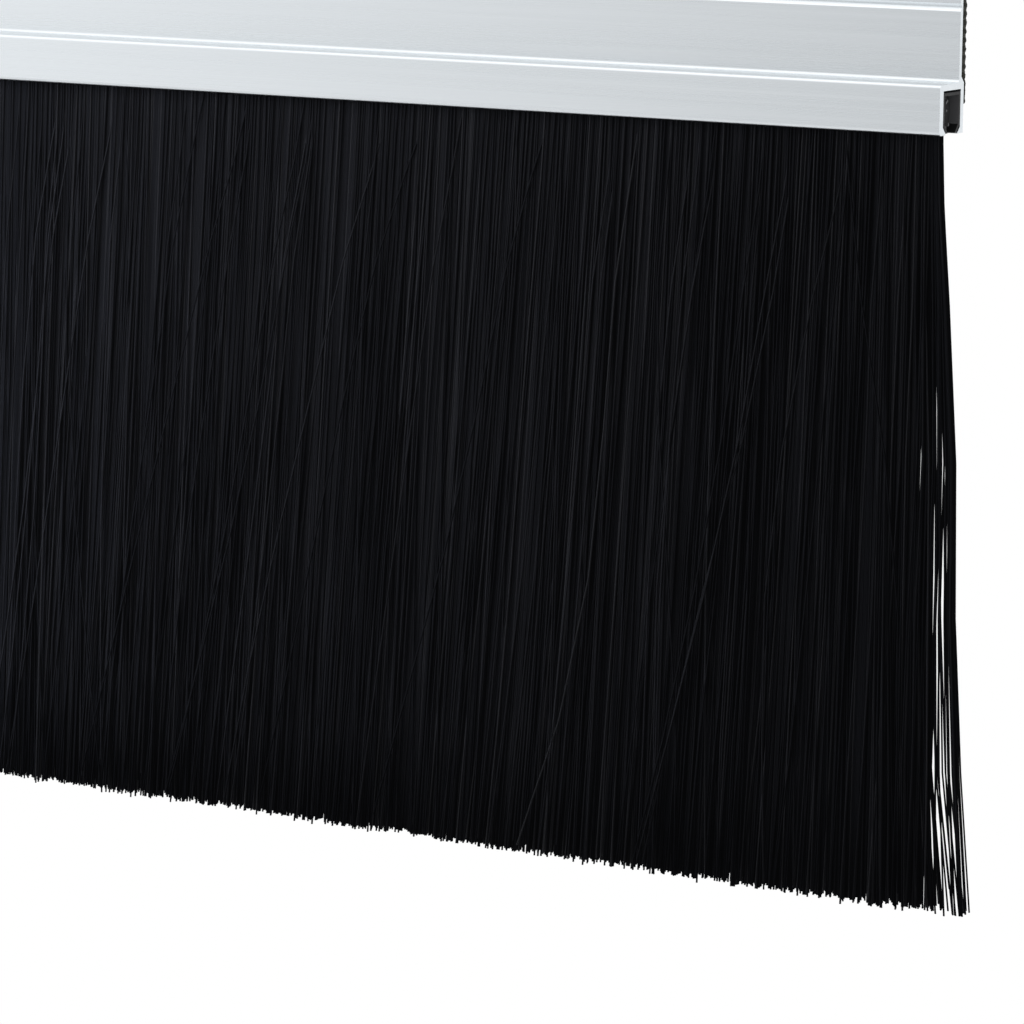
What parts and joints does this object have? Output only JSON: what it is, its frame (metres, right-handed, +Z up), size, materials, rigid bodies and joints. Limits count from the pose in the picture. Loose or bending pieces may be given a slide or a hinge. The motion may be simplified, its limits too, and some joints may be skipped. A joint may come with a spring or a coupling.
{
  "type": "door sweep",
  "caption": "Brush door sweep: an aluminium carrier with a taped mounting flange, and a slide-in strip brush with a long black bristle curtain.",
  "frame": {"origin": "centre of the foam tape's back face, which sticks to the door", "axes": "+X along the sweep's length, +Y towards the door, +Z up; the bristles hang down along -Z"},
  "size_m": [0.914, 0.0074, 0.125],
  "materials": {
    "extruded_aluminium": "satin, mill-finish extrusion with fine lengthwise die lines",
    "foam_tape": "matt dark foam",
    "black_steel": "semi-matt black coated sheet",
    "wire": "drawn wire",
    "bristles": "black nylon filament with a soft sheen"
  },
  "bodies": {
    "carrier": {"carrier_profile": "extruded_aluminium", "foam_tape": "foam_tape"},
    "brush_insert": {"brush_channel": "black_steel", "core_wire": "wire", "bristle_roots": "bristles"},
    "bristles_01": {"bristle_bundle_01": "bristles"},
    "bristles_02": {"bristle_bundle_02": "bristles"},
    "bristles_03": {"bristle_bundle_03": "bristles"},
    "bristles_04": {"bristle_bundle_04": "bristles"},
    "bristles_05": {"bristle_bundle_05": "bristles"},
    "bristles_06": {"bristle_bundle_06": "bristles"},
    "bristles_07": {"bristle_bundle_07": "bristles"},
    "bristles_08": {"bristle_bundle_08": "bristles"},
    "bristles_09": {"bristle_bundle_09": "bristles"},
    "bristles_10": {"bristle_bundle_10": "bristles"},
    "bristles_11": {"bristle_bundle_11": "bristles"},
    "bristles_12": {"bristle_bundle_12": "bristles"},
    "bristles_13": {"bristle_bundle_13": "bristles"},
    "bristles_14": {"bristle_bundle_14": "bristles"},
    "bristles_15": {"bristle_bundle_15": "bristles"},
    "bristles_16": {"bristle_bundle_16": "bristles"}
  },
  "joints": [
    {"name": "insert_slide", "type": "slide", "parent": "carrier", "child": "brush_insert", "axis": [1, 0, 0], "range_m": [0, 0.9]},
    {"name": "bristles_01_bend", "type": "hinge", "parent": "brush_insert", "child": "bristles_01", "pos_m": [0, -0.0039, -0.0152], "axis": [1, 0, 0], "range_deg": [-40, 40], "stiffness_Nm_per_rad": 0.06},
    {"name": "bristles_02_bend", "type": "hinge", "parent": "brush_insert", "child": "bristles_02", "pos_m": [0, -0.0039, -0.0152], "axis": [1, 0, 0], "range_deg": [-40, 40], "stiffness_Nm_per_rad": 0.06},
    {"name": "bristles_03_bend", "type": "hinge", "parent": "brush_insert", "child": "bristles_03", "pos_m": [0, -0.0039, -0.0152], "axis": [1, 0, 0], "range_deg": [-40, 40], "stiffness_Nm_per_rad": 0.06},
    {"name": "bristles_04_bend", "type": "hinge", "parent": "brush_insert", "child": "bristles_04", "pos_m": [0, -0.0039, -0.0152], "axis": [1, 0, 0], "range_deg": [-40, 40], "stiffness_Nm_per_rad": 0.06},
    {"name": "bristles_05_bend", "type": "hinge", "parent": "brush_insert", "child": "bristles_05", "pos_m": [0, -0.0039, -0.0152], "axis": [1, 0, 0], "range_deg": [-40, 40], "stiffness_Nm_per_rad": 0.06},
    {"name": "bristles_06_bend", "type": "hinge", "parent": "brush_insert", "child": "bristles_06", "pos_m": [0, -0.0039, -0.0152], "axis": [1, 0, 0], "range_deg": [-40, 40], "stiffness_Nm_per_rad": 0.06},
    {"name": "bristles_07_bend", "type": "hinge", "parent": "brush_insert", "child": "bristles_07", "pos_m": [0, -0.0039, -0.0152], "axis": [1, 0, 0], "range_deg": [-40, 40], "stiffness_Nm_per_rad": 0.06},
    {"name": "bristles_08_bend", "type": "hinge", "parent": "brush_insert", "child": "bristles_08", "pos_m": [0, -0.0039, -0.0152], "axis": [1, 0, 0], "range_deg": [-40, 40], "stiffness_Nm_per_rad": 0.06},
    {"name": "bristles_09_bend", "type": "hinge", "parent": "brush_insert", "child": "bristles_09", "pos_m": [0, -0.0039, -0.0152], "axis": [1, 0, 0], "range_deg": [-40, 40], "stiffness_Nm_per_rad": 0.06},
    {"name": "bristles_10_bend", "type": "hinge", "parent": "brush_insert", "child": "bristles_10", "pos_m": [0, -0.0039, -0.0152], "axis": [1, 0, 0], "range_deg": [-40, 40], "stiffness_Nm_per_rad": 0.06},
    {"name": "bristles_11_bend", "type": "hinge", "parent": "brush_insert", "child": "bristles_11", "pos_m": [0, -0.0039, -0.0152], "axis": [1, 0, 0], "range_deg": [-40, 40], "stiffness_Nm_per_rad": 0.06},
    {"name": "bristles_12_bend", "type": "hinge", "parent": "brush_insert", "child": "bristles_12", "pos_m": [0, -0.0039, -0.0152], "axis": [1, 0, 0], "range_deg": [-40, 40], "stiffness_Nm_per_rad": 0.06},
    {"name": "bristles_13_bend", "type": "hinge", "parent": "brush_insert", "child": "bristles_13", "pos_m": [0, -0.0039, -0.0152], "axis": [1, 0, 0], "range_deg": [-40, 40], "stiffness_Nm_per_rad": 0.06},
    {"name": "bristles_14_bend", "type": "hinge", "parent": "brush_insert", "child": "bristles_14", "pos_m": [0, -0.0039, -0.0152], "axis": [1, 0, 0], "range_deg": [-40, 40], "stiffness_Nm_per_rad": 0.06},
    {"name": "bristles_15_bend", "type": "hinge", "parent": "brush_insert", "child": "bristles_15", "pos_m": [0, -0.0039, -0.0152], "axis": [1, 0, 0], "range_deg": [-40, 40], "stiffness_Nm_per_rad": 0.06},
    {"name": "bristles_16_bend", "type": "hinge", "parent": "brush_insert", "child": "bristles_16", "pos_m": [0, -0.0039, -0.0152], "axis": [1, 0, 0], "range_deg": [-40, 40], "stiffness_Nm_per_rad": 0.06}
  ]
}
